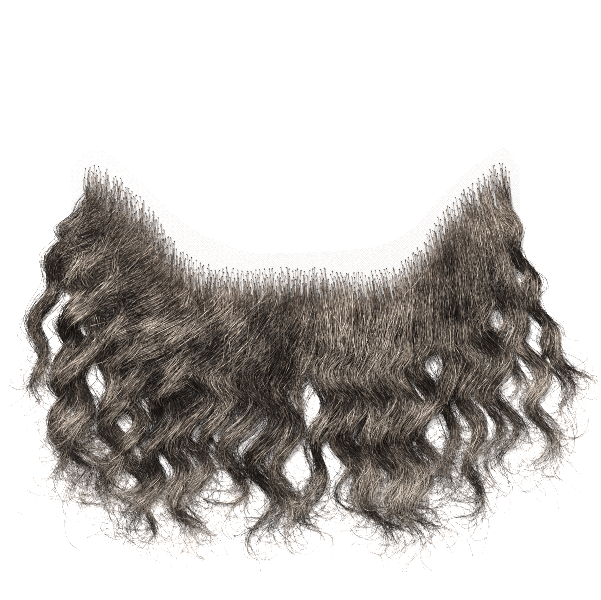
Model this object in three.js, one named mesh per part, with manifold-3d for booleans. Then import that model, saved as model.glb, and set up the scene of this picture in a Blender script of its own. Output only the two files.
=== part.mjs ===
// A full fake beard: wavy hair knotted to a fine net foundation, lying flat with its hair side up.
// Millimetres. +X runs across the beard to the right, +Y up the face towards the mouth, +Z away
// from the skin. The origin is on the underside of the net, in the middle of the chin.

import * as THREE from 'three';
import { mergeVertices } from 'three/addons/utils/BufferGeometryUtils.js';
import Module from 'manifold-3d';

const wasm = await Module();
wasm.setup();

// Driving dimensions
const HALF_SPREAD = 162; // half the width that the spread hair covers
const DROP = 216; // from the top of the sideburns down to the level of the long tips
const LACE_THICKNESS = 1; // the net with the knots on its back
const LACE_CLEARANCE = 0.3; // air between the net and the hair that lies over it
const ROOT_DEPTH = 1.2; // depth of the hair over the net at the hairline
const BODY_DEPTH = 5.5; // depth of the hair's body where it is fullest
const LOCK_DEPTH = 9; // depth of a full lock, from the surface it lies on to its crown
const LOCK_WIDTH = 13; // width of a full lock
const WAVE_SWING = 7.3; // how far a full wave swings to each side of its lock's line

// The net's outline and the hair's edges, one row for each station across the beard. The station
// and foot_across, where its foot lies, are shares of HALF_SPREAD. The others are levels below the
// top, as shares of DROP: the net's rim, the hairline, the net's hem under the hair, and the foot
// where the hair's body parts into locks.
const STATION_COLUMNS = ['across', 'rim', 'hairline', 'hem', 'foot', 'foot_across'];
const STATIONS = [
  [-0.765, 0.080, 0.120, 0.165, 0.180, -0.800],
  [-0.745, 0.022, 0.090, 0.230, 0.260, -0.820],
  [-0.710, 0.006, 0.056, 0.290, 0.380, -0.835],
  [-0.640, 0.014, 0.068, 0.340, 0.560, -0.800],
  [-0.587, 0.045, 0.098, 0.368, 0.620, -0.720],
  [-0.490, 0.118, 0.168, 0.420, 0.660, -0.600],
  [-0.400, 0.186, 0.268, 0.450, 0.670, -0.490],
  [-0.333, 0.220, 0.305, 0.475, 0.690, -0.410],
  [-0.167, 0.270, 0.320, 0.500, 0.700, -0.220],
  [0.000, 0.267, 0.311, 0.508, 0.600, -0.020],
  [0.060, 0.265, 0.315, 0.508, 0.570, 0.045],
  [0.167, 0.260, 0.330, 0.500, 0.690, 0.130],
  [0.300, 0.244, 0.316, 0.478, 0.700, 0.270],
  [0.380, 0.205, 0.285, 0.450, 0.690, 0.360],
  [0.433, 0.160, 0.230, 0.425, 0.660, 0.430],
  [0.490, 0.107, 0.158, 0.395, 0.630, 0.500],
  [0.567, 0.055, 0.112, 0.355, 0.590, 0.600],
  [0.660, 0.008, 0.052, 0.305, 0.490, 0.700],
  [0.710, -0.008, 0.052, 0.270, 0.360, 0.745],
  [0.735, 0.090, 0.120, 0.250, 0.270, 0.750],
];

// The locks from left to right, one row each. root, mid and tip are places across, as shares of
// HALF_SPREAD. set is how far down the net the lock starts, from the hairline to the hem. reach is
// the tip's level and first the level of the first bend, as shares of DROP, and pace the fall from
// one bend to the next. swing is the first bend as a share of WAVE_SWING, to the right if it is
// positive. curl turns the tip, in degrees, to the right if it is positive. girth and lift are the
// lock's width and crown as shares of a full lock's.
const LOCK_COLUMNS = [
  'root', 'set', 'mid', 'tip', 'reach', 'first', 'pace', 'swing', 'curl', 'girth', 'lift',
];
const LOCKS = [
  [-0.68, 0.20, -0.840, -0.850, 0.650, 0.280, 0.082, -0.55, 0, 0.65, 0.50],
  [-0.65, 0.30, -0.795, -0.830, 0.840, 0.300, 0.0685, -0.45, 0, 0.65, 0.60],
  [-0.59, 0.30, -0.745, -0.705, 0.910, 0.325, 0.070, -0.90, 50, 0.90, 0.70],
  [-0.56, 0.50, -0.715, -0.730, 0.810, 0.405, 0.085, -0.70, 130, 0.70, 0.70],
  [-0.51, 0.40, -0.640, -0.560, 0.820, 0.500, 0.085, -0.60, -110, 0.65, 0.70],
  [-0.47, 0.30, -0.600, -0.615, 0.900, 0.490, 0.070, 0.70, 0, 0.85, 0.70],
  [-0.42, 0.30, -0.540, -0.540, 0.930, 0.560, 0.070, -0.80, 0, 0.95, 0.80],
  [-0.37, 0.25, -0.460, -0.510, 1.000, 0.580, 0.067, -0.65, -65, 1.00, 0.90],
  [-0.31, 0.25, -0.415, -0.370, 1.010, 0.600, 0.073, -0.65, 0, 1.00, 0.90],
  [-0.26, 0.20, -0.345, -0.335, 0.900, 0.550, 0.085, -1.00, 0, 1.05, 1.00],
  [-0.21, 0.20, -0.270, -0.290, 0.800, 0.575, 0.080, -0.85, 0, 1.15, 0.90],
  [-0.13, 0.20, -0.180, -0.235, 0.920, 0.575, 0.095, -1.05, -35, 1.15, 1.00],
  [-0.08, 0.20, -0.110, -0.110, 1.000, 0.585, 0.103, -1.10, 0, 0.95, 0.80],
  [-0.03, 0.20, -0.055, -0.035, 0.980, 0.600, 0.103, -0.80, 0, 0.95, 0.80],
  [0.03, 0.20, 0.005, 0.000, 0.740, 0.600, 0.100, -0.15, 0, 0.55, 0.55],
  [0.08, 0.20, 0.070, 0.045, 0.960, 0.572, 0.087, -0.65, 95, 0.95, 0.75],
  [0.13, 0.20, 0.120, 0.190, 0.910, 0.562, 0.085, -0.75, 50, 1.00, 0.90],
  [0.18, 0.20, 0.160, 0.310, 0.990, 0.562, 0.081, -0.75, 0, 1.20, 1.00],
  [0.24, 0.20, 0.215, 0.330, 0.920, 0.570, 0.085, -0.65, 0, 1.20, 1.00],
  [0.30, 0.20, 0.275, 0.370, 0.980, 0.565, 0.085, -0.70, 0, 1.20, 1.00],
  [0.36, 0.20, 0.345, 0.430, 1.000, 0.560, 0.085, -0.85, 0, 1.10, 0.90],
  [0.42, 0.20, 0.410, 0.430, 0.860, 0.550, 0.085, -0.80, 0, 0.95, 0.90],
  [0.47, 0.25, 0.480, 0.520, 0.920, 0.543, 0.085, -0.50, 60, 0.95, 0.80],
  [0.52, 0.25, 0.560, 0.590, 0.870, 0.545, 0.083, 0.65, 0, 0.85, 0.80],
  [0.56, 0.30, 0.610, 0.650, 0.790, 0.460, 0.083, -0.80, 0, 0.80, 0.70],
  [0.60, 0.30, 0.650, 0.720, 0.830, 0.440, 0.090, -0.90, 0, 0.75, 0.70],
  [0.64, 0.30, 0.770, 0.835, 0.820, 0.320, 0.081, -0.85, 0, 0.65, 0.60],
  [0.68, 0.20, 0.785, 0.935, 0.665, 0.345, 0.062, 0.50, 0, 0.55, 0.50],
];

const CHIN_LEVEL = 0.387; // level of the origin, halfway down the net at the chin
const ROUNDING = 0.016; // how far each corner of the station table is rounded, along it
const LACE_STEPS = 48; // facets along the net's rim and hem
const BODY_COLUMNS = 32; // facets across the hair's body
const BODY_ROWS = 7; // facets down the hair's body
const BODY_CROWN = 0.6; // where the body is fullest, from the hairline to the foot
const BODY_FOOT = 0.45; // what is left of the body's depth at the foot
const LOCK_STEPS_PER_BEND = 4; // sections of a lock from one bend to the next
const LOCK_STEPS_AT_ROOT = 2; // sections of a lock before it waves
const CURL_START = 0.85; // where a curled tip starts to turn, along the lock
const ROOT_GIRTH = 0.6; // a lock's width at its root, as a share of its girth
const TIP_GIRTH = 0.14; // and at its tip
const TIP_LIFT = 0.2; // a lock's depth at its tip, as a share of its crown
const FULL_GIRTH = [0.35, 0.6]; // where a lock is full width, along it
const FULL_LIFT = [0.3, 0.5]; // where a lock is full depth, along it
// A lock's section, across and up, as shares of half its width and of its depth
const LOCK_SECTION = [[-1, 0], [-0.78, 0.66], [0, 1], [0.78, 0.66], [1, 0]];

const smooth = THREE.MathUtils.smoothstep;
const mix = THREE.MathUtils.lerp;

function levelToY(level) {
  return (CHIN_LEVEL - level) * DROP;
}

// One column of the station table at a place across, read in a straight line between stations.
function straightStation(across, column) {
  const index = STATION_COLUMNS.indexOf(column);
  const last = STATIONS.length - 1;
  let row = 1;
  while (row < last && across > STATIONS[row][0]) row += 1;
  const [before, after] = [STATIONS[row - 1], STATIONS[row]];
  const share = (across - before[0]) / (after[0] - before[0]);
  return mix(before[index], after[index], THREE.MathUtils.clamp(share, 0, 1));
}

// The same, with its corners rounded: the mean of five readings beside each other.
function station(across, column) {
  let sum = 0;
  for (let i = -2; i <= 2; i += 1) sum += straightStation(across + i * ROUNDING, column);
  return sum / 5;
}

// A closed mesh as a solid for joining and cutting.
function toSolid(geometry) {
  const bare = new THREE.BufferGeometry();
  bare.setAttribute('position', geometry.getAttribute('position').clone());
  if (geometry.index) bare.setIndex(geometry.index.clone());
  const merged = mergeVertices(bare, 1e-4);
  return new wasm.Manifold(new wasm.Mesh({
    numProp: 3,
    vertProperties: new Float32Array(merged.getAttribute('position').array),
    triVerts: new Uint32Array(merged.index.array),
  }));
}

function toGeometry(solid) {
  const { vertProperties, triVerts } = solid.getMesh();
  const geometry = new THREE.BufferGeometry();
  geometry.setAttribute('position', new THREE.BufferAttribute(vertProperties, 3));
  geometry.setIndex(new THREE.BufferAttribute(triVerts, 1));
  return geometry;
}

// Triangles between rings of points, each ring closed, with a flat fan over the first and last.
function skinRings(rings) {
  const sides = rings[0].length;
  const positions = rings.flat().flat();
  const faces = [];
  for (let ring = 0; ring < rings.length - 1; ring += 1) {
    for (let side = 0; side < sides; side += 1) {
      const a = ring * sides + side;
      const b = ring * sides + (side + 1) % sides;
      faces.push(a, b, b + sides, a, b + sides, a + sides);
    }
  }
  const end = (rings.length - 1) * sides;
  for (let side = 1; side < sides - 1; side += 1) {
    faces.push(0, side + 1, side, end, end + side, end + side + 1);
  }
  const geometry = new THREE.BufferGeometry();
  geometry.setAttribute('position', new THREE.Float32BufferAttribute(positions, 3));
  geometry.setIndex(faces);
  return geometry;
}

// The net's outline as points, grown outwards by a margin.
function laceOutline(margin) {
  const first = STATIONS[0][0];
  const last = STATIONS[STATIONS.length - 1][0];
  const rim = [];
  const hem = [];
  for (let step = 0; step <= LACE_STEPS; step += 1) {
    // stations crowd towards both ends, where the outline turns
    const across = mix(first, last, (1 - Math.cos(Math.PI * step / LACE_STEPS)) / 2);
    rim.push(new THREE.Vector2(across * HALF_SPREAD, levelToY(station(across, 'rim'))));
    hem.push(new THREE.Vector2(across * HALF_SPREAD, levelToY(station(across, 'hem'))));
  }
  const outline = [...hem, ...rim.reverse()];
  return outline.map((point, i) => {
    const before = outline[(i + outline.length - 1) % outline.length];
    const after = outline[(i + 1) % outline.length];
    const along = after.clone().sub(before).normalize();
    return new THREE.Vector2(point.x + along.y * margin, point.y - along.x * margin);
  });
}

function lacePlate(margin, bottom, top) {
  const shape = new THREE.Shape(laceOutline(margin));
  const plate = new THREE.ExtrudeGeometry(shape, { depth: top - bottom, bevelEnabled: false });
  return plate.translate(0, 0, bottom);
}

// The body of the hair: from the hairline down to the foot, thin at the hairline, fullest below
// the net, and thinner again at the foot, with its underside on the surface it lies on.
function hairBody() {
  const over = LACE_THICKNESS + LACE_CLEARANCE;
  const first = STATIONS[0][0] + ROUNDING;
  const last = STATIONS[STATIONS.length - 1][0] - ROUNDING;
  const rings = [];
  for (let i = 0; i <= BODY_COLUMNS; i += 1) {
    const across = mix(first, last, i / BODY_COLUMNS);
    const hairline = levelToY(station(across, 'hairline'));
    const foot = levelToY(station(across, 'foot'));
    const footAcross = station(across, 'foot_across');
    const ring = [[across * HALF_SPREAD, hairline, 0]];
    for (let row = 0; row <= BODY_ROWS; row += 1) {
      const down = row / BODY_ROWS;
      const rise = smooth(down, 0, BODY_CROWN);
      const fall = mix(1, BODY_FOOT, smooth(down, BODY_CROWN, 1));
      const depth = mix(over + ROOT_DEPTH, BODY_DEPTH, rise) * fall;
      ring.push([mix(across, footAcross, down) * HALF_SPREAD, mix(hairline, foot, down), depth]);
    }
    ring.push([footAcross * HALF_SPREAD, foot, 0]);
    rings.push(ring);
  }
  return skinRings(rings);
}

// The line that one lock follows, as points with the share of its length at each. It runs on a
// bend from root to tip, and swings about that bend as a cosine of the level from its first bend.
function lockLine(lock) {
  const hairline = station(lock.root, 'hairline');
  const start = mix(hairline, station(lock.root, 'hem'), lock.set);
  const wavy = lock.first - lock.pace;
  const bends = (lock.reach - wavy) / lock.pace;
  const steps = LOCK_STEPS_AT_ROOT + Math.round(bends * LOCK_STEPS_PER_BEND);
  const pull = 2 * lock.mid - (lock.root + lock.tip) / 2;
  const points = [];
  for (let step = 0; step <= steps; step += 1) {
    const early = step < LOCK_STEPS_AT_ROOT;
    const level = early
      ? mix(start, wavy, step / LOCK_STEPS_AT_ROOT)
      : mix(wavy, lock.reach, (step - LOCK_STEPS_AT_ROOT) / (steps - LOCK_STEPS_AT_ROOT));
    const t = (level - start) / (lock.reach - start);
    const bend = (1 - t) ** 2 * lock.root + 2 * t * (1 - t) * pull + t ** 2 * lock.tip;
    const ramp = smooth(level, wavy, lock.first);
    const wave = Math.cos(Math.PI * (level - lock.first) / lock.pace);
    const x = bend * HALF_SPREAD + lock.swing * WAVE_SWING * ramp * wave;
    points.push({ t, place: new THREE.Vector2(x, levelToY(level)) });
  }
  return curlTip(points, THREE.MathUtils.degToRad(lock.curl));
}

// Turns the last steps of a line more and more, up to the whole angle at its tip.
function curlTip(points, angle) {
  const origin = new THREE.Vector2();
  const line = [points[0]];
  for (let i = 1; i < points.length; i += 1) {
    const turn = angle * smooth(points[i].t, CURL_START, 1);
    const step = points[i].place.clone().sub(points[i - 1].place).rotateAround(origin, turn);
    line.push({ t: points[i].t, place: line[i - 1].place.clone().add(step) });
  }
  return line;
}

// One lock: a flat-bottomed section carried along its line, narrow at the root, full in the
// middle and pointed at the tip.
function lockSolid(lock) {
  const line = lockLine(lock);
  const over = LACE_THICKNESS + LACE_CLEARANCE;
  const rings = line.map(({ t, place }, i) => {
    const before = line[Math.max(i - 1, 0)].place;
    const after = line[Math.min(i + 1, line.length - 1)].place;
    const along = after.clone().sub(before).normalize();
    const swell = mix(ROOT_GIRTH, 1, smooth(t, 0, FULL_GIRTH[0]));
    const taper = mix(1, TIP_GIRTH, smooth(t, FULL_GIRTH[1], 1));
    const half = LOCK_WIDTH / 2 * lock.girth * swell * taper;
    const crown = LOCK_DEPTH * lock.lift * mix(1, TIP_LIFT, smooth(t, FULL_LIFT[1], 1));
    const depth = mix(over + ROOT_DEPTH / 2, crown, smooth(t, 0, FULL_LIFT[0]));
    return LOCK_SECTION.map(([across, up]) => [
      place.x + along.y * across * half, place.y - along.x * across * half, up * depth,
    ]);
  });
  return skinRings(rings);
}

function buildHair() {
  const rows = LOCKS.map((row) => Object.fromEntries(row.map((v, i) => [LOCK_COLUMNS[i], v])));
  let hair = toSolid(hairBody());
  for (const row of rows) hair = hair.add(toSolid(lockSolid(row)));
  const space = lacePlate(LACE_CLEARANCE, -LACE_THICKNESS, LACE_THICKNESS + LACE_CLEARANCE);
  return toGeometry(hair.subtract(toSolid(space)));
}

function addPiece(group, name, geometry, look) {
  const mesh = new THREE.Mesh(geometry, new THREE.MeshStandardMaterial(look));
  mesh.name = name;
  group.add(mesh);
}

const beard = new THREE.Group();
addPiece(beard, 'lace_base', lacePlate(0, 0, LACE_THICKNESS), {
  color: 0xf2f0ee, roughness: 0.9, metalness: 0,
});
addPiece(beard, 'hair', buildHair(), { color: 0x544b45, roughness: 0.55, metalness: 0 });

export default beard;
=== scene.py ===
"""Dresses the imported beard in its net, its knots and its hair, laid flat on a pale surface.

The frame's solids give the size. The net is one thin rippled sheet. The hair is thousands of
narrow ribbons: each is tied to a knot on the net, falls into one of the charted locks, follows
that lock's waves and ends in a free tail. Everything is in metres, in the frame of the solids: +X
runs across the beard to the right, +Y up the face towards the mouth and +Z away from the skin.
"""

import math

import bpy
import numpy as np
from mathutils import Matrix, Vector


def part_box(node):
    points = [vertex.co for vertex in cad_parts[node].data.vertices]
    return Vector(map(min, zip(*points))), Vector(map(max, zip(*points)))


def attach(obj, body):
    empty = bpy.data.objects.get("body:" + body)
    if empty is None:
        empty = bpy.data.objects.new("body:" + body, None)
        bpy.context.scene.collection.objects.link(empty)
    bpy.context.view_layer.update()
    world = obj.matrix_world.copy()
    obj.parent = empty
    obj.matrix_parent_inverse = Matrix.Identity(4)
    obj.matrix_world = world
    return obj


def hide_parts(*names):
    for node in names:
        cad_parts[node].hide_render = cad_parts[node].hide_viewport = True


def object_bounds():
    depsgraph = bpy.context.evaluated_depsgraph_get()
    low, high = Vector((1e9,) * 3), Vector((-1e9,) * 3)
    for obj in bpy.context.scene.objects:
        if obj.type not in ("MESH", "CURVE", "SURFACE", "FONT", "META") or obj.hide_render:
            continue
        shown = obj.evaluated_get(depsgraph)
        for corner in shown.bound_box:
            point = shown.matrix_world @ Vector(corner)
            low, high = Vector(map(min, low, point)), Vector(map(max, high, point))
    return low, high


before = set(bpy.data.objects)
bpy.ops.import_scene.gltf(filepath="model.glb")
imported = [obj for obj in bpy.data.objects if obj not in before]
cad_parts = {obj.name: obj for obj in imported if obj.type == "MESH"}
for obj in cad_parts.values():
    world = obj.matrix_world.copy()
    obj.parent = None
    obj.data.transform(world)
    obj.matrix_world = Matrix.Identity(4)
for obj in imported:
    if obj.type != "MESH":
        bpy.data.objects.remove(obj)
solid_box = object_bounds()

# The net's outline and the hair's edge, one row for each station across the beard. The station is
# a share of the half spread. The others are levels below the top, as shares of the drop.
STATION_COLUMNS = ["across", "rim", "hairline", "hem"]
STATIONS = np.array([
    [-0.765, 0.080, 0.112, 0.165],
    [-0.745, 0.022, 0.080, 0.230],
    [-0.710, 0.006, 0.046, 0.290],
    [-0.640, 0.014, 0.060, 0.340],
    [-0.587, 0.045, 0.092, 0.368],
    [-0.490, 0.118, 0.164, 0.420],
    [-0.400, 0.186, 0.263, 0.450],
    [-0.333, 0.220, 0.299, 0.475],
    [-0.167, 0.270, 0.315, 0.500],
    [0.000, 0.267, 0.305, 0.508],
    [0.060, 0.265, 0.307, 0.508],
    [0.167, 0.260, 0.324, 0.500],
    [0.300, 0.244, 0.310, 0.478],
    [0.380, 0.205, 0.276, 0.450],
    [0.433, 0.160, 0.214, 0.425],
    [0.490, 0.107, 0.146, 0.395],
    [0.567, 0.055, 0.102, 0.355],
    [0.660, 0.008, 0.042, 0.305],
    [0.710, -0.008, 0.040, 0.270],
    [0.735, 0.090, 0.110, 0.250],
])

# The locks from left to right, one row each. root, mid and tip are places across, as shares of
# the half spread. set is how far down the net the lock starts, from the hairline to the hem.
# reach is the tip's level and first the level of the first bend, as shares of the drop, and pace
# the fall from one bend to the next. swing is the first bend as a share of WAVE_SWING, to the
# right if it is positive. curl turns the tip, in degrees, to the right if it is positive. girth
# and lift are the lock's width and crown as shares of a full lock's.
LOCK_COLUMNS = [
    "root", "set", "mid", "tip", "reach", "first", "pace", "swing", "curl", "girth", "lift",
]
LOCKS = np.array([
    [-0.70, 0.25, -0.757, -0.690, 0.430, 0.215, 0.065, -0.70, 0, 0.70, 0.60],
    [-0.66, 0.20, -0.838, -0.855, 0.650, 0.280, 0.082, -0.55, 0, 0.65, 0.50],
    [-0.62, 0.30, -0.775, -0.795, 0.840, 0.300, 0.0685, -0.45, 0, 0.30, 0.60],
    [-0.59, 0.30, -0.752, -0.705, 0.910, 0.315, 0.071, -0.90, 50, 0.70, 0.70],
    [-0.56, 0.30, -0.705, -0.730, 0.810, 0.320, 0.085, 0.70, 130, 0.75, 0.70],
    [-0.51, 0.40, -0.640, -0.560, 0.820, 0.330, 0.085, -0.60, -110, 0.65, 0.70],
    [-0.47, 0.30, -0.600, -0.615, 0.900, 0.350, 0.070, 0.70, 0, 0.85, 0.70],
    [-0.42, 0.30, -0.540, -0.540, 0.930, 0.350, 0.070, -0.80, 0, 0.95, 0.80],
    [-0.37, 0.25, -0.460, -0.510, 1.000, 0.379, 0.067, -0.65, -65, 1.00, 0.90],
    [-0.31, 0.25, -0.415, -0.370, 1.010, 0.454, 0.073, -0.65, 0, 1.20, 0.90],
    [-0.26, 0.20, -0.345, -0.335, 0.900, 0.550, 0.085, -1.00, 0, 1.05, 1.00],
    [-0.21, 0.20, -0.270, -0.290, 0.800, 0.575, 0.080, -0.85, 0, 1.30, 0.90],
    [-0.13, 0.20, -0.180, -0.235, 0.920, 0.575, 0.095, -1.05, -35, 1.35, 1.00],
    [-0.08, 0.20, -0.110, -0.110, 1.000, 0.585, 0.103, -1.10, 0, 0.95, 0.80],
    [-0.03, 0.20, -0.055, -0.035, 0.980, 0.600, 0.103, -0.80, 0, 0.95, 0.80],
    [0.03, 0.20, 0.005, 0.000, 0.740, 0.600, 0.100, -0.15, 0, 0.35, 0.55],
    [0.08, 0.20, 0.084, -0.010, 0.960, 0.572, 0.087, -0.60, 95, 0.60, 0.75],
    [0.13, 0.20, 0.120, 0.190, 0.910, 0.562, 0.085, -0.75, 50, 0.80, 0.90],
    [0.18, 0.20, 0.160, 0.310, 0.990, 0.562, 0.081, -0.75, 0, 1.20, 1.00],
    [0.24, 0.20, 0.215, 0.330, 0.920, 0.570, 0.085, -0.65, 0, 1.20, 1.00],
    [0.30, 0.20, 0.275, 0.370, 0.980, 0.565, 0.085, -0.70, 0, 1.20, 1.00],
    [0.36, 0.20, 0.345, 0.430, 1.000, 0.560, 0.085, -0.85, 0, 1.10, 0.90],
    [0.42, 0.20, 0.410, 0.430, 0.860, 0.550, 0.085, -0.80, 0, 0.95, 0.90],
    [0.47, 0.25, 0.485, 0.510, 0.840, 0.543, 0.085, 0.40, 0, 0.95, 0.80],
    [0.52, 0.25, 0.555, 0.600, 0.930, 0.545, 0.083, 0.65, -120, 0.80, 0.80],
    [0.55, 0.30, 0.610, 0.650, 0.790, 0.460, 0.083, -0.80, 0, 0.80, 0.70],
    [0.58, 0.30, 0.650, 0.720, 0.830, 0.440, 0.090, -0.90, 0, 0.90, 0.70],
    [0.60, 0.30, 0.680, 0.720, 0.660, 0.345, 0.080, -0.60, 0, 1.00, 0.70],
    [0.62, 0.30, 0.744, 0.845, 0.820, 0.482, 0.081, -0.65, 0, 0.50, 0.60],
    [0.68, 0.20, 0.774, 0.925, 0.640, 0.195, 0.065, 0.42, 0, 0.22, 0.50],
])

# The pieces of hair, each with its first lock and the one after its last
HAIR_PIECES = [
    ("left_cheek", 0, 6), ("left_jaw", 6, 9), ("left_chin", 9, 12), ("mid_chin", 12, 17),
    ("right_chin", 17, 21), ("right_jaw", 21, 25), ("right_cheek", 25, 30),
]

# Size and place of the whole. ROUNDING is the step between the readings that round a station.
NET_BOX_LOW, NET_BOX_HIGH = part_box("lace_base")
HALF_SPREAD = (NET_BOX_HIGH.x - NET_BOX_LOW.x) / (STATIONS[-1, 0] - STATIONS[0, 0])
DROP = HALF_SPREAD * 4 / 3
CHIN_LEVEL = 0.387
ROUNDING = 0.016

# The net, from its lowest point to the height that knots and roots start from. The ripples are
# waves with these lengths over 2 pi, across and down. The holes of the mesh open at HOLE_EDGE, with
# HOLE_SLOPE, and the cover is how opaque threads are, and the holes at least.
NET_BOTTOM = 0.0002
NET_TOP = 0.0006
NET_PITCH = 0.00135
NET_COLUMNS = 260
NET_ROWS = 40
RIPPLE_HEIGHT = 0.00035
RIPPLE_ACROSS = 0.011
RIPPLE_DRIFT = 0.031
RIPPLE_SWAY = 2.2
RIPPLE_DOWN = 0.019
RIPPLE_SLANT = 0.05
HOLE_EDGE = 0.6
HOLE_SLOPE = 2.5
THREAD_COVER = 0.7
LEAST_COVER = 0.3

# The knots. KNOTTED is the stretch across that they cover, as shares of the half spread, and
# KNOTTED_DEPTH how far they go below the hairline, as a share of the drop. HAIRS_PER_KNOT has the
# way from the hairline to the hem, as a share, and the hairs of a knot there, and a random share
# of one hair more is added before the count is cut down to a whole number. A knot strays from its
# place in the rows by shares of a step, and a share of the first row is left out.
KNOT_STEP_ACROSS = 0.0023
KNOT_STEP_DOWN = 0.0022
KNOT_STRAY_ACROSS = 0.16
KNOT_STRAY_DOWN = 0.35
FIRST_ROW_LEFT_OUT = 0.25
KNOT_SIZE = 0.00034
KNOTTED = (-0.715, 0.695)
KNOTTED_DEPTH = 0.22
HAIRS_PER_KNOT = np.array([
    [0.05, 1.2],
    [0.20, 2.6],
    [0.50, 5.9],
])

# How the hair is combed. A row gives, for a place across the hairline, how far to the right of it
# the hair joins its lock, both as shares of the half spread, and how far the hair leans to the
# right before that, as a share of its fall. Roots stray sideways by shares of the half spread, most
# of them a little and FAR_SHARE of them further, and then across the lock by places of tresses.
FAR_SHARE = 0.12
FAR_STRAY = 0.05
NEAR_STRAY = 0.012
TRESS_PLACES = 1.2
COMBED = np.array([
    [-0.75, 0.00, 0.00],
    [-0.60, -0.02, 0.00],
    [-0.45, -0.07, 0.02],
    [-0.33, -0.09, 0.08],
    [-0.15, -0.08, 0.00],
    [0.03, -0.05, -0.08],
    [0.06, 0.015, 0.10],
    [0.30, 0.015, 0.22],
    [0.50, 0.015, 0.12],
    [0.75, 0.00, 0.00],
])

# The locks' lines. LINE_START is where a line starts, before its root, as a share of its length.
# The values of a tress stray from its lock's, each in its own unit and first in shares of the pace.
# It ends a little higher and has TRESS_SWING of the swing.
WAVE_SWING = 0.0073
LOCK_WIDTH = 0.0125
LOCK_DEPTH = 0.009
CURL_START = 0.85
LINE_START = -0.35
LINE_SAMPLES = 240
TRESSES_PER_LOCK = 8
TRESS_STRAY = {
    "place": 0.12, "first": 0.13, "pace": 0.02, "reach": 0.03, "tip": 0.010, "mid": 0.005,
    "curl": 30,
}
TRESS_SHORTER = 0.012
TRESS_SWING = (0.6, 1.15)

# The strands. LONG_END and SHORT_END are where the combed part ends along its lock. LATE is how
# far a strand falls before it turns to its lock and JOIN how far it falls while it goes over, as
# shares of the drop, and CHEEK_HASTE what is left of both at the cheeks. OWN_PLACE is how far
# strands scatter in their tress, and STRAY_PLACE how far strays do, as shares of the half width.
STRAND_RADIUS = 0.000125
STRAND_TILT = 0.8
COMBED_POINTS = 38
LONG_SHARE = 0.5
LONG_END = (0.76, 1.00)
SHORT_END = (0.35, 0.88)
LATE = (0.02, 0.08)
JOIN = (0.09, 0.17)
CHEEK_HASTE = 0.45
STRAY_SHARE = 0.15
OWN_PLACE = 0.18
STRAY_PLACE = 0.75
FULL_FALL = 0.6
SLOW_FRIZZ = 0.0018
FINE_FRIZZ = 0.00035
UP_FRIZZ = 0.0003
ROOT_SCATTER = 0.00025
ROOT_LIFT = 0.0024
LIFT_RIPPLE = 0.0005
TIP_LIGHT = 0.18

# The tails, with the share of strands from which each kind starts, and its least and greatest
# length. Bends are in radians for each metre. TAIL_ROOM is how far below the solids a tail may
# end, and past FREE_REACH outside the solids' box places are eased back by up to LAST_REACH.
TAIL_KINDS = [
    (0.00, 0.004, 0.012),
    (0.50, 0.010, 0.022),
    (0.88, 0.020, 0.036),
]
TAIL_POINTS = 10
SHORTEST_TAIL = 0.003
TAIL_ROOM = 0.0155
TAIL_HEIGHT = 0.0004
TRESS_BEND = (40, 150)
LONE_BEND = (30, 200)
LONE_SHARE = 0.3
TAIL_WANDER = 0.4
TAIL_LIGHT = 0.6
FREE_REACH = 0.007
LAST_REACH = 0.008

# Looks. The hair's tone is a sum of its shade, glints, light and patches, each by its share, less
# TONE_START. The glints' steps are counted over the shade and along the strand.
HAIR_RAMP = [
    (0.0, (0.004, 0.003, 0.0025, 1)),
    (0.38, (0.025, 0.019, 0.0155, 1)),
    (0.60, (0.147, 0.115, 0.092, 1)),
    (0.82, (0.315, 0.258, 0.210, 1)),
    (1.0, (0.600, 0.520, 0.445, 1)),
]
ROOT_COLOUR = (0.240, 0.160, 0.110, 1)
KNOT_COLOUR = (0.012, 0.009, 0.007, 1)
NET_COLOUR = (0.45, 0.452, 0.45, 1)
FLOOR_COLOUR = (0.92, 0.895, 0.88, 1)
SHADE_SHARE = 0.66
GLINT_SHARE = 1.1
LIGHT_SHARE = 0.60
PATCH_SHARE = 0.9
TONE_START = 1.115
GLINTS_OVER_SHADE = 900.0
GLINTS_ALONG = 42.0
PATCH_SCALE = 60.0
WISP_STEP = 0.022
FLOOR_SIZE = 6
LAMPS = [
    ("key", (-0.45, 0.75, 1.1), 0.4, 30),
    ("fill", (0.7, 0.3, 1.1), 0.5, 9),
]
SKY_STRENGTH = 0.22

# The camera, over the middle of the photograph's frame, with the size of a pixel at the surface
FRAME_WIDTH_PX = 601
PIXEL = 0.00054
CAMERA_X = 0.0003
LENS = 100
SENSOR = 36
PIXEL_FILTER = 0.8

SEED = 7


def smooth(x):
    """A soft step from 0 to 1: 3x^2 - 2x^3, with x held between 0 and 1."""
    x = np.clip(x, 0, 1)
    return x * x * (3 - 2 * x)


def mix(a, b, share):
    """The value a share of the way from a to b."""
    return a + (b - a) * share


def station(across, column):
    """One column of the station table at places across, the mean of five readings side by side."""
    index = STATION_COLUMNS.index(column)
    reads = [
        np.interp(across + i * ROUNDING, STATIONS[:, 0], STATIONS[:, index])
        for i in range(-2, 3)
    ]
    return np.mean(reads, axis=0)


def level_to_y(level):
    return (CHIN_LEVEL - level) * DROP


def lock_values(rows):
    """The rows of many locks as one column array for each name in LOCK_COLUMNS."""
    return {name: rows[:, i:i + 1] for i, name in enumerate(LOCK_COLUMNS)}


def lock_start(lock):
    """The level that a lock starts at, between the hairline and the hem at its root."""
    return mix(station(lock["root"], "hairline"), station(lock["root"], "hem"), lock["set"])


def add_uv(mesh, name, uv):
    """A UV map on a mesh, from one place for each point."""
    corners = np.empty(len(mesh.loops), np.int32)
    mesh.loops.foreach_get("vertex_index", corners)
    layer = mesh.uv_layers.new(name=name)
    layer.data.foreach_set("uv", uv[corners].astype(np.float32).ravel())


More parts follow.
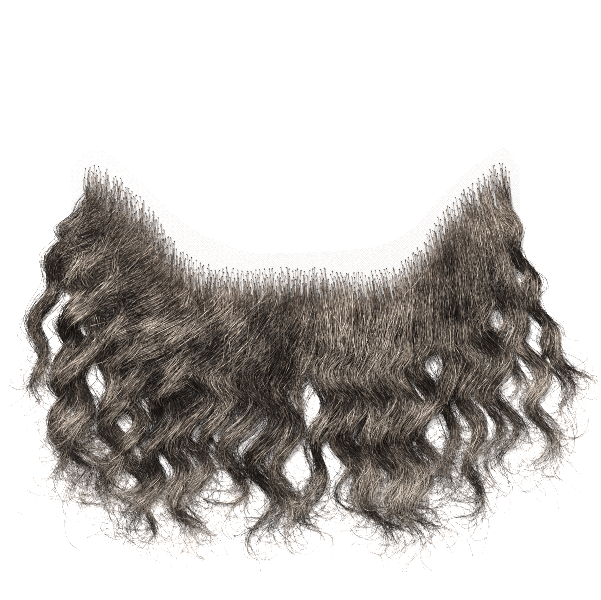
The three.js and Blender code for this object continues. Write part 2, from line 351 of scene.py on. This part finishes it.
def new_piece(name, points, faces, uv, material):
    """A mesh object from arrays: points (n, 3), faces (m, 3 or 4) and a UV for each point."""
    mesh = bpy.data.meshes.new(name)
    mesh.vertices.add(len(points))
    mesh.vertices.foreach_set("co", points.astype(np.float32).ravel())
    sizes = np.full(len(faces), faces.shape[1])
    mesh.loops.add(faces.size)
    mesh.loops.foreach_set("vertex_index", faces.ravel().astype(np.int32))
    mesh.polygons.add(len(sizes))
    mesh.polygons.foreach_set("loop_start", (np.cumsum(sizes) - sizes).astype(np.int32))
    mesh.polygons.foreach_set("loop_total", sizes.astype(np.int32))
    mesh.polygons.foreach_set("use_smooth", np.ones(len(sizes), bool))
    mesh.update(calc_edges=True)
    add_uv(mesh, "along", uv)
    mesh.validate()
    mesh.materials.append(material)
    piece = bpy.data.objects.new(name, mesh)
    bpy.context.scene.collection.objects.link(piece)
    return piece


# Lines of the locks


def wave_lines(rows):
    """The lines of many tresses at once, as an array (tress, sample, 2) of places in metres.

    A line falls at an even pace from its start to its reach. Across, it is a bend through root,
    mid and tip, plus swing * WAVE_SWING * ramp * cos(pi * (level - first) / pace), where the ramp
    rises over the fall before the first bend. The last stretch is turned step by step, up to the
    whole curl at the tip.
    """
    lock = lock_values(rows)
    q = np.linspace(LINE_START, 1, LINE_SAMPLES)[None, :]
    level = mix(lock_start(lock), lock["reach"], q)
    pull = 2 * lock["mid"] - (lock["root"] + lock["tip"]) / 2
    bend = (1 - q) ** 2 * lock["root"] + 2 * q * (1 - q) * pull + q ** 2 * lock["tip"]
    straight = mix(lock["root"], pull, 2 * q)
    bend = np.where(q < 0, straight, bend)
    ramp = smooth((level - lock["first"] + lock["pace"]) / lock["pace"])
    wave = np.cos(math.pi * (level - lock["first"]) / lock["pace"])
    x = bend * HALF_SPREAD + lock["swing"] * WAVE_SWING * ramp * wave
    line = np.stack([x, level_to_y(level)], axis=2)
    turn = np.radians(lock["curl"]) * smooth((q - CURL_START) / (1 - CURL_START))
    return turned(line, turn)


def turned(line, turn):
    """The same lines with each step turned by its angle, and all after it carried along."""
    step = np.diff(line, axis=1)
    c, s = np.cos(turn[:, 1:]), np.sin(turn[:, 1:])
    step = np.stack([
        step[..., 0] * c - step[..., 1] * s, step[..., 0] * s + step[..., 1] * c,
    ], axis=2)
    return np.concatenate([line[:, :1], line[:, :1] + np.cumsum(step, axis=1)], axis=1)


def make_tresses(rng):
    """Splits each lock into tresses side by side. A tress is its lock's row with most values moved
    a little at random, a place across the lock (-1 to 1) and a layer in its depth (0 to 1)."""
    rows = np.repeat(LOCKS, TRESSES_PER_LOCK, axis=0)
    count = len(rows)
    place = np.tile(np.linspace(-1, 1, TRESSES_PER_LOCK), len(LOCKS))
    place = place + rng.normal(0, TRESS_STRAY["place"], count)
    layer = rng.uniform(0, 1, count)
    column = {name: i for i, name in enumerate(LOCK_COLUMNS)}
    pace = rows[:, column["pace"]]
    rows[:, column["first"]] += rng.normal(0, TRESS_STRAY["first"], count) * pace
    rows[:, column["pace"]] *= 1 + rng.normal(0, TRESS_STRAY["pace"], count)
    rows[:, column["swing"]] *= rng.uniform(*TRESS_SWING, count)
    rows[:, column["reach"]] += rng.normal(-TRESS_SHORTER, TRESS_STRAY["reach"], count)
    rows[:, column["tip"]] += rng.normal(0, TRESS_STRAY["tip"], count)
    rows[:, column["mid"]] += rng.normal(0, TRESS_STRAY["mid"], count)
    rows[:, column["curl"]] += rng.normal(0, TRESS_STRAY["curl"], count)
    return {"rows": rows, "place": place, "layer": layer, "count": count}


# Knots, and the hairs that they hold


def tie_knots(rng):
    """Knots in staggered rows from the hairline down to the hem, each moved a little at random.

    Row r lies KNOT_STEP_DOWN * r below the hairline, and its knots are KNOT_STEP_ACROSS apart,
    shifted by half a step on every other row. Knots past the hem are dropped, and so is one in
    four of the first row.
    """
    first, last = KNOTTED
    step = KNOT_STEP_ACROSS / HALF_SPREAD
    across = np.arange(first, last, step)
    rows = np.arange(int(KNOTTED_DEPTH * DROP / KNOT_STEP_DOWN))
    a, r = np.meshgrid(across, rows)
    a = a + (r % 2) * step / 2
    a = a + rng.normal(0, KNOT_STRAY_ACROSS, a.shape) * step
    stray = rng.uniform(-KNOT_STRAY_DOWN, KNOT_STRAY_DOWN, a.shape)
    down = (r + stray) * KNOT_STEP_DOWN / DROP
    ragged = rng.uniform(0, 1, a.shape)
    level = station(a, "hairline") + down
    depth = station(a, "hem") - station(a, "hairline")
    share = down / np.maximum(depth, 0.02)
    keep = (share < 0.97) & (share > -0.05) & ((r > 0) | (ragged > FIRST_ROW_LEFT_OUT))
    return {"across": a[keep], "level": level[keep], "share": share[keep]}


def comb_strands(knots, rng):
    """One row for each strand: its knot, its lock and its tress.

    A strand joins the lock whose root is nearest to its knot, once the knot is moved sideways as
    COMBED says and a little at random. One in eight strays further, to a lock near by.
    """
    count = len(knots["across"])
    hairs = np.interp(knots["share"], HAIRS_PER_KNOT[:, 0], HAIRS_PER_KNOT[:, 1])
    hairs = (hairs + rng.uniform(0, 1, count)).astype(int)
    knot = np.repeat(np.arange(count), hairs)
    n = len(knot)
    across = knots["across"][knot]
    combed = across + np.interp(across, COMBED[:, 0], COMBED[:, 1])
    far = rng.uniform(0, 1, n) < FAR_SHARE
    combed = combed + rng.normal(0, 1, n) * np.where(far, FAR_STRAY, NEAR_STRAY)
    roots = LOCKS[:, 0]
    lock = np.searchsorted((roots[1:] + roots[:-1]) / 2, combed)
    side = (combed - roots[lock]) / np.gradient(roots)[lock]
    tress = (side + 0.5) * TRESSES_PER_LOCK + rng.normal(0, TRESS_PLACES, n)
    tress = lock * TRESSES_PER_LOCK + np.clip(tress, 0, TRESSES_PER_LOCK - 1).astype(int)
    return {
        "lock": lock,
        "tress": tress,
        "across": across[:, None],
        "level": knots["level"][knot][:, None],
        "share": knots["share"][knot][:, None],
        "n": n,
    }


# The run of a strand


def frizz(q, rng, low, high, waves):
    """Small waves of a strand's own: sums of sines along it, with low to high cycles."""
    n = len(q)
    total = np.zeros_like(q)
    for _ in range(waves):
        cycles = rng.uniform(low, high, (n, 1))
        phase = rng.uniform(0, 2 * math.pi, (n, 1))
        total += rng.normal(0, 1, (n, 1)) * np.sin(2 * math.pi * cycles * q + phase)
    return total / math.sqrt(waves)


def ways_down(strands, start, fall, rng):
    """Where each strand's points lie along its lock's line, and where its combed part ends there.

    A way is the fall from the lock's start over the lock's whole fall. The points run from the
    knot to the end, with the first seventh of them over a quarter of the way, where the hair is
    straight. About half of the strands end near the tip and the rest on the way.
    """
    n = strands["n"]
    knot = (strands["level"] - start) / fall
    long_one = rng.uniform(0, 1, (n, 1)) < LONG_SHARE
    end = np.where(long_one, rng.uniform(*LONG_END, (n, 1)), rng.uniform(*SHORT_END, (n, 1)))
    even = np.linspace(0, 1, COMBED_POINTS)
    share = np.interp(even, [0, 0.14, 1], [0, 0.26, 1])[None, :]
    return mix(knot, end, share), end


def on_lines(lines, tress, q):
    """The places at the ways q along each strand's tress, between the two nearest samples."""
    index = (q - LINE_START) / (1 - LINE_START) * (LINE_SAMPLES - 1)
    index = np.clip(index, 0, LINE_SAMPLES - 1.001)
    low = index.astype(int)
    each = np.arange(len(q))[:, None]
    picked = lines[tress]
    return mix(picked[each, low], picked[each, low + 1], (index - low)[..., None])


def joined_share(strands, gone, rng):
    """How far each point has gone over from the fall below its knot to its tress: a soft step that
    starts after a late fall and takes the fall of a join. At the cheeks both are shorter."""
    n = strands["n"]
    haste = mix(1, CHEEK_HASTE, smooth((np.abs(strands["across"]) - 0.3) / 0.3))
    late = rng.uniform(*LATE, (n, 1)) * haste
    return smooth((gone - late) / (rng.uniform(*JOIN, (n, 1)) * haste))


def place_in_lock(strands, tresses, rng):
    """Each strand's place across its lock, from -1 to 1 or somewhat past: three quarters of its
    tress's place and a random scatter, which is wider for strays."""
    n = strands["n"]
    scatter = np.where(rng.uniform(0, 1, (n, 1)) < STRAY_SHARE, STRAY_PLACE, OWN_PLACE)
    place = 0.75 * tresses["place"][strands["tress"]][:, None]
    return np.clip(place + rng.normal(0, 1, (n, 1)) * scatter, -1.5, 1.5)


def run_in_plane(strands, line, q, level, joined, full, rng):
    """The strands' places across and up the face.

    A strand hangs from its knot, leaning as COMBED says, and goes over to its line by its joined
    share. To that come slow and fine waves of its own, which grow with its fall and again near its
    end. full is less than 1 on short locks, where the slow waves are smaller.
    """
    n = strands["n"]
    gone = level - strands["level"]
    wild = rng.gamma(1.6, 0.45, (n, 1))
    free = smooth(gone / 0.15) * mix(1, 1.6, smooth((q - 0.55) / 0.45))
    slow = frizz(q, rng, 1.0, 4.0, 2) * SLOW_FRIZZ * full
    fine = frizz(q, rng, 6.0, 13.0, 2) * FINE_FRIZZ
    lean = np.interp(strands["across"], COMBED[:, 0], COMBED[:, 2])
    lean = (lean + rng.normal(0, 0.09, (n, 1))) * gone * DROP
    rooted = strands["across"] * HALF_SPREAD + lean + rng.normal(0, ROOT_SCATTER, (n, 1))
    x = mix(rooted, line[..., 0], joined) + (slow + fine) * wild * free
    up = frizz(q, rng, 3.0, 9.0, 2) * UP_FRIZZ * free
    return x, mix(level_to_y(level), line[..., 1], joined) + up


def height_and_light(strands, tresses, lock, own, q, level, rng):
    """Each point's height, and how much light reaches it: 0 deep in the hair, 1 on top of a wave.

    The height over the net is the strand's layer times the lock's crown, rounded off towards the
    lock's edges. Layers are higher for knots near the hairline. From the first bend on, height and
    light follow the sine of the waves' phase. Towards the tip TIP_LIGHT is added, so the light can
    go over 1.
    """
    n = strands["n"]
    gone = level - strands["level"]
    turning = np.sin(math.pi * (level - lock["first"]) / lock["pace"]) * np.sign(lock["swing"])
    waved = smooth((level - lock["first"]) / lock["pace"])
    layer = 1 - strands["share"] + rng.normal(0, 0.22, (n, 1))
    layer = np.clip(mix(layer, tresses["layer"][strands["tress"]][:, None], 0.35), 0.03, 1)
    edge = np.sqrt(1 - 0.7 * np.clip(own, -1, 1) ** 2)
    crown = LOCK_DEPTH * lock["lift"] * mix(1, 0.4, smooth((q - 0.5) / 0.5))
    roll = mix(1, 0.62 + 0.38 * turning, waved)
    lift = layer * mix(ROOT_LIFT, crown * edge * roll, smooth(gone / 0.25))
    ripple = np.abs(frizz(q, rng, 1.0, 8.0, 3)) * LIFT_RIPPLE
    z = NET_TOP + (lift + ripple) * smooth(gone / 0.05)
    light = mix(0.75, 0.5 + 0.5 * turning, waved) * mix(0.25, 1, layer) * edge
    return z, light + TIP_LIGHT * smooth((q - 0.45) / 0.4)


def strand_lines(strands, tresses, lines, rng):
    """Places of all strands, as (strand, point, 3), and the light at each point."""
    tress = strands["tress"]
    lock = lock_values(tresses["rows"][tress])
    start = lock_start(lock)
    fall = lock["reach"] - start
    q, end = ways_down(strands, start, fall, rng)
    level = mix(start, lock["reach"], q)
    joined = joined_share(strands, level - strands["level"], rng)
    own = place_in_lock(strands, tresses, rng)
    swell = mix(0.8, 1, smooth(q / 0.35)) * mix(1, 0.3, smooth((q - 0.4) / 0.5))
    line = on_lines(lines, tress, q)
    line[..., 0] += own * LOCK_WIDTH / 2 * lock["girth"] * swell
    full = np.minimum(fall / FULL_FALL, 1)
    x, y = run_in_plane(strands, line, q, level, joined, full, rng)
    z, light = height_and_light(strands, tresses, lock, own, q, level, rng)
    full = full * mix(0.5, 1, smooth((end - 0.5) / 0.3))
    points = add_tails(np.stack([x, y, z], axis=2), tress, full, rng)
    tail_light = np.maximum(light[:, -1:], TAIL_LIGHT).repeat(TAIL_POINTS, axis=1)
    return near_solids(points), np.concatenate([light, tail_light], axis=1)


def add_tails(combed, tress, full, rng):
    """Ends each strand in a tail that bends on from its last steps, by bend * length * t^1.4 and a
    little wander. Most tails of a tress bend the same way, and three in ten bend on their own.
    They lie lower and lower, and are shorter by the share full."""
    n = len(combed)
    kind = rng.uniform(0, 1, (n, 1))
    length = np.zeros((n, 1))
    for share, shortest, longest in TAIL_KINDS:
        length = np.where(kind >= share, rng.uniform(shortest, longest, (n, 1)), length)
    room = combed[:, -1:, 1] - solid_box[0][1] + TAIL_ROOM
    length = np.clip(length * full, SHORTEST_TAIL, np.maximum(room, SHORTEST_TAIL))
    bend = tail_bends(tress, rng) * length
    t = np.linspace(0, 1, TAIL_POINTS + 1)[None, 1:]
    last = combed[:, -1] - combed[:, -3]
    wander = frizz(t.repeat(n, axis=0), rng, 0.5, 2.0, 3) * TAIL_WANDER
    heading = np.arctan2(last[:, 1:2], last[:, 0:1]) + bend * t ** 1.4 + wander * t
    step = length / TAIL_POINTS
    x = combed[:, -1:, 0] + np.cumsum(np.cos(heading) * step, axis=1)
    y = combed[:, -1:, 1] + np.cumsum(np.sin(heading) * step, axis=1)
    z = np.maximum(combed[:, -1:, 2] * (1 - 0.6 * t), TAIL_HEIGHT)
    return np.concatenate([combed, np.stack([x, y, z], axis=2)], axis=1)


def tail_bends(tress, rng):
    """How strongly each tail bends, to the right if it hangs down and the bend is positive: its
    tress's bend and up to two fifths more or less, or a random bend."""
    n = len(tress)
    count = tress.max() + 1
    alone = rng.choice([-1, 1], (n, 1)) * rng.uniform(*LONE_BEND, (n, 1))
    shared = rng.choice([-1, 1], count) * rng.uniform(*TRESS_BEND, count)
    shared = shared[tress][:, None] * rng.uniform(0.6, 1.4, (n, 1))
    return np.where(rng.uniform(0, 1, (n, 1)) < LONE_SHARE, alone, shared)


def near_solids(points):
    """Points eased back towards the solids' box, across and down. Up to FREE_REACH past a side
    they stay as they are, and an excess e beyond that becomes
    LAST_REACH * (1 - exp(-e / LAST_REACH))."""
    for axis in (0, 1):
        low = solid_box[0][axis] - FREE_REACH
        high = solid_box[1][axis] + FREE_REACH
        place = points[..., axis]
        under = np.maximum(low - place, 0)
        over = np.maximum(place - high, 0)
        place = np.clip(place, low, high)
        place = place - LAST_REACH * (1 - np.exp(-under / LAST_REACH))
        points[..., axis] = place + LAST_REACH * (1 - np.exp(-over / LAST_REACH))
    return points


# Pieces of hair


def ways_along(points):
    """Each point's way along its own strand, from 0 at the knot to 1 at the end."""
    span = np.linalg.norm(np.diff(points, axis=1), axis=2)
    way = np.concatenate([np.zeros((len(points), 1)), np.cumsum(span, axis=1)], axis=1)
    return way / way[:, -1:]


def ribbon_mesh(points, radius, tilt):
    """Narrow ribbons along many lines at once, each turned about its line by its own tilt: its two
    edges lie radius to either side of the line. Gives points and faces."""
    n, k = points.shape[:2]
    along = np.gradient(points, axis=1)
    side = np.stack([along[..., 1], -along[..., 0]], axis=2)
    side /= np.maximum(np.linalg.norm(side, axis=2, keepdims=True), 1e-9)
    flat = side * np.cos(tilt)[:, None, None]
    steep = np.sin(tilt)[:, None, None].repeat(k, axis=1)
    half = np.concatenate([flat, steep], axis=2) * radius[..., None]
    surface = np.stack([points - half, points + half], axis=2)
    first = (np.arange(n) * k * 2)[:, None]
    a = first + (np.arange(k - 1) * 2)[None, :]
    quads = np.stack([a, a + 1, a + 3, a + 2], axis=2).reshape(-1, 4)
    return surface.reshape(-1, 3), quads[:, ::-1]


def strand_piece(name, points, light, shade, radius, tilt, material):
    """One piece of many strands. The UV map "along" holds each strand's shade and the way along
    it, and the map "light" the light at each point."""
    way = ways_along(points)
    taper = mix(1, 0.55, smooth((way - 0.5) / 0.5)) * mix(0.75, 1, smooth(way / 0.12))
    surface, faces = ribbon_mesh(points, radius[:, None] * taper, tilt)
    along = np.stack([shade[:, None].repeat(way.shape[1], axis=1), way], axis=2)
    along = along[:, :, None, :].repeat(2, axis=2).reshape(-1, 2)
    piece = new_piece(name, surface, faces, along, material)
    light = light.reshape(-1).repeat(2)
    add_uv(piece.data, "light", np.stack([light, light], axis=1))
    return piece


def strand_shades(strands, tresses, rng):
    """Each strand's shade, 0 to 1: a part shared by the hair that is tied near by, a part shared
    by its tress, and a part of its own."""
    tone = rng.beta(1.6, 2.2, tresses["count"])[strands["tress"]]
    wisps = np.arange(-1, 1.5, WISP_STEP)
    tied = strands["across"][:, 0] + 0.4 * strands["level"][:, 0]
    wisp = np.interp(tied, wisps, rng.beta(1.2, 1.6, len(wisps)))
    shade = 0.35 * wisp + 0.25 * tone + 0.4 * rng.uniform(0, 1, strands["n"])
    return np.clip(shade, 0.01, 0.99)


def make_hair(material):
    """All strands, in pieces from the left cheek round the chin to the right cheek."""
    rng = np.random.default_rng(SEED)
    tresses = make_tresses(rng)
    lines = wave_lines(tresses["rows"])
    knots = tie_knots(rng)
    strands = comb_strands(knots, rng)
    points, light = strand_lines(strands, tresses, lines, rng)
    shade = strand_shades(strands, tresses, rng)
    radius = STRAND_RADIUS * rng.uniform(0.7, 1.3, strands["n"])
    tilt = rng.uniform(-STRAND_TILT, STRAND_TILT, strands["n"])
    pieces = []
    for name, low, high in HAIR_PIECES:
        mine = (strands["lock"] >= low) & (strands["lock"] < high)
        pieces.append(strand_piece(
            f"{name}_hair", points[mine], light[mine], shade[mine], radius[mine], tilt[mine],
            material,
        ))
    return pieces, knots


def make_knots(knots, material):
    """A small dark bead for each knot: two four-sided pyramids base to base."""
    corner = np.array([[1, 0, 0], [0, 1.3, 0], [-1, 0, 0], [0, -1.3, 0], [0, 0, 1], [0, 0, -1]])
    face = np.array([
        [0, 1, 4], [1, 2, 4], [2, 3, 4], [3, 0, 4], [1, 0, 5], [2, 1, 5], [3, 2, 5], [0, 3, 5],
    ])
    n = len(knots["across"])
    centre = np.stack([
        knots["across"] * HALF_SPREAD, level_to_y(knots["level"]), np.full(n, NET_TOP),
    ], axis=1)
    points = (centre[:, None, :] + corner[None] * KNOT_SIZE).reshape(-1, 3)
    faces = (face[None] + 6 * np.arange(n)[:, None, None]).reshape(-1, 3)
    piece = new_piece("root_knots", points, faces, np.zeros((len(points), 2)), material)
    add_uv(piece.data, "light", np.zeros((len(points), 2)))
    return piece


# The net


def make_net(material):
    """The net as one open thin sheet: a grid between rim and hem, with shallow ripples.

    Across, the grid's lines crowd towards both ends, where the outline turns. The ripple is the
    sine of the way across, itself drifting by a slower sine, times the cosine of the way down.
    The sheet's UV is in millimetres.
    """
    first, last = STATIONS[0, 0], STATIONS[-1, 0]
    share = (1 - np.cos(np.linspace(0, math.pi, NET_COLUMNS))) / 2
    across = mix(first, last, share)[:, None]
    down = np.linspace(0, 1, NET_ROWS)[None, :]
    level = mix(station(across, "rim"), station(across, "hem"), down)
    x = (across * HALF_SPREAD).repeat(NET_ROWS, axis=1)
    y = level_to_y(level)
    ripple = np.sin(x / RIPPLE_ACROSS + RIPPLE_SWAY * np.sin(x / RIPPLE_DRIFT))
    ripple = ripple * np.cos(y / RIPPLE_DOWN + x / RIPPLE_SLANT)
    z = NET_BOTTOM + RIPPLE_HEIGHT * (0.5 + 0.5 * ripple)
    points = np.stack([x, y, z], axis=2).reshape(-1, 3)
    i, j = np.meshgrid(np.arange(NET_COLUMNS - 1), np.arange(NET_ROWS - 1), indexing="ij")
    a = i * NET_ROWS + j
    faces = np.stack([a, a + 1, a + NET_ROWS + 1, a + NET_ROWS], axis=2).reshape(-1, 4)
    return new_piece("lace_net", points, faces, points[:, :2] * 1000, material)


# Materials


class Value:
    """A socket in a material, so that shader maths reads as Python."""

    def __init__(self, shader, socket):
        self.shader = shader
        self.socket = socket

    def __add__(self, other):
        return self.shader.math("ADD", self, other)

    def __sub__(self, other):
        return self.shader.math("SUBTRACT", self, other)

    def __mul__(self, other):
        return self.shader.math("MULTIPLY", self, other)

    def __rsub__(self, other):
        return self.shader.math("SUBTRACT", other, self)

    __radd__ = __add__
    __rmul__ = __mul__


class Shader:
    """A material with one Principled shader, and the nodes that feed it."""

    def __init__(self, name, **fixed):
        self.material = bpy.data.materials.new(name)
        self.material.use_nodes = True
        self.tree = self.material.node_tree
        self.surface = self.tree.nodes["Principled BSDF"]
        for socket, value in fixed.items():
            self.surface.inputs[socket.replace("_", " ")].default_value = value

    def node(self, kind, settings=None, output=0, **inputs):
        """A node with its settings, which come first, and its sockets, by name or as i0, i1."""
        made = self.tree.nodes.new(kind)
        for name, value in (settings or {}).items():
            if name == "ramp":
                self.set_ramp(made.color_ramp, value)
            else:
                setattr(made, name, value)
        for name, value in inputs.items():
            key = int(name[1:]) if name[0] == "i" and name[1:].isdigit() else name
            self.feed(made.inputs[key], value)
        return Value(self, made.outputs[output])

    @staticmethod
    def set_ramp(ramp, stops):
        while len(ramp.elements) > 1:
            ramp.elements.remove(ramp.elements[0])
        ramp.elements[0].position, ramp.elements[0].color = stops[0]
        for place, colour in stops[1:]:
            ramp.elements.new(place).color = colour

    def feed(self, socket, value):
        if isinstance(value, Value):
            self.tree.links.new(value.socket, socket)
        else:
            socket.default_value = value

    def math(self, operation, *terms):
        inputs = {f"i{i}": term for i, term in enumerate(terms)}
        return self.node("ShaderNodeMath", {"operation": operation}, **inputs)

    def axis(self, vector, index):
        """One part of a vector: 0 for x, 1 for y."""
        return self.node("ShaderNodeSeparateXYZ", output=index, Vector=vector)

    def blend(self, share, first, second):
        """A colour, a share of the way from the first to the second."""
        settings = {"data_type": "RGBA", "blend_type": "MIX"}
        return self.node("ShaderNodeMix", settings, output=2, i0=share, i6=first, i7=second)

    def set(self, socket, value):
        self.feed(self.surface.inputs[socket], value)


def hair_material():
    """Grey-brown hair. Its ramp is read at a sum of the strand's shade, glints along the strand,
    the light that reaches it and wide patches. Near the root it is warmer, and at the knot dark."""
    shader = Shader("beard_hair", Roughness=0.4, Specular_IOR_Level=0.1)
    uv = shader.node("ShaderNodeUVMap", {"uv_map": "along"})
    shade = shader.axis(uv, 0)
    along = shader.axis(uv, 1)
    light = shader.axis(shader.node("ShaderNodeUVMap", {"uv_map": "light"}), 0)
    spot = shader.node("ShaderNodeCombineXYZ", i0=shade * GLINTS_OVER_SHADE,
                       i1=along * GLINTS_ALONG)
    glint = shader.node("ShaderNodeTexNoise", {"noise_dimensions": "2D"}, Vector=spot, Scale=1.0,
                        Detail=1.0)
    place = shader.node("ShaderNodeTexCoord", output=3)
    patch = shader.node("ShaderNodeTexNoise", Vector=place, Scale=PATCH_SCALE, Detail=1.0)
    tone = shade * SHADE_SHARE + glint * GLINT_SHARE + light * LIGHT_SHARE
    tone = tone + patch * PATCH_SHARE - TONE_START
    colour = shader.node("ShaderNodeValToRGB", {"ramp": HAIR_RAMP}, Fac=tone)
    near_root = shader.math("MAXIMUM", 0.5 - along * 3.5, 0.0)
    colour = shader.blend(near_root, colour, ROOT_COLOUR)
    past_knot = shader.math("MINIMUM", along * 60.0, 1.0)
    shader.set("Base Color", shader.blend(past_knot * 0.9 + 0.1, KNOT_COLOUR, colour))
    return shader.material


def net_material():
    """Fine pale net: threads on two slanted sets of lines with open holes between them."""
    shader = Shader("fine_net", Roughness=0.85)
    place = shader.node("ShaderNodeTexCoord", output=3)
    x = shader.axis(place, 0)
    y = shader.axis(place, 1)
    waves = math.pi / NET_PITCH
    one = shader.math("ABSOLUTE", shader.math("SINE", (x + y) * waves))
    two = shader.math("ABSOLUTE", shader.math("SINE", (x - y) * waves))
    hole = shader.math("MINIMUM", one, two) * HOLE_SLOPE - HOLE_EDGE
    thread = 1.0 - shader.math("MAXIMUM", hole, 0.0)
    shader.set("Alpha", shader.math("MAXIMUM", thread * THREAD_COVER, LEAST_COVER))
    shader.set("Base Color", NET_COLOUR)
    return shader.material


def floor_material():
    shader = Shader("pale_floor", Roughness=0.9)
    shader.set("Base Color", FLOOR_COLOUR)
    return shader.material


# Floor, light and camera


def make_floor():
    bpy.ops.mesh.primitive_plane_add(size=FLOOR_SIZE, location=(0, 0, 0))
    floor = bpy.context.object
    floor.name = "floor"
    floor.data.materials.append(floor_material())


def add_lamp(name, place, size, power):
    """A round area light that shines towards the origin."""
    light = bpy.data.lights.new(name, "AREA")
    light.shape = "DISK"
    light.size = size
    light.energy = power
    lamp = bpy.data.objects.new(name, light)
    lamp.location = place
    lamp.rotation_euler = (-lamp.location).to_track_quat("-Z", "Y").to_euler()
    bpy.context.scene.collection.objects.link(lamp)


def light_scene():
    world = bpy.data.worlds.new("studio")
    world.use_nodes = True
    sky = world.node_tree.nodes["Background"]
    sky.inputs["Color"].default_value = (1, 1, 1, 1)
    sky.inputs["Strength"].default_value = SKY_STRENGTH
    scene = bpy.context.scene
    scene.world = world
    for lamp in LAMPS:
        add_lamp(*lamp)
    scene.view_settings.view_transform = "Standard"
    scene.cycles.filter_width = PIXEL_FILTER
    scene.cycles.use_denoising = False


def place_camera():
    """The camera, straight above, as high as its lens needs for the photograph's width."""
    camera = bpy.data.cameras.new("camera")
    camera.lens = LENS
    camera.sensor_width = SENSOR
    holder = bpy.data.objects.new("camera", camera)
    holder.location = (CAMERA_X, 0, FRAME_WIDTH_PX * PIXEL * LENS / SENSOR)
    bpy.context.scene.collection.objects.link(holder)
    bpy.context.scene.camera = holder


place_camera()
light_scene()
make_floor()

hair_look = hair_material()
hair_pieces, knots = make_hair(hair_look)
for piece in hair_pieces:
    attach(piece, "root")
    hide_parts("hair")

knot_piece = make_knots(knots, hair_look)
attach(knot_piece, "root")

net = make_net(net_material())
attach(net, "root")
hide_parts("lace_base")
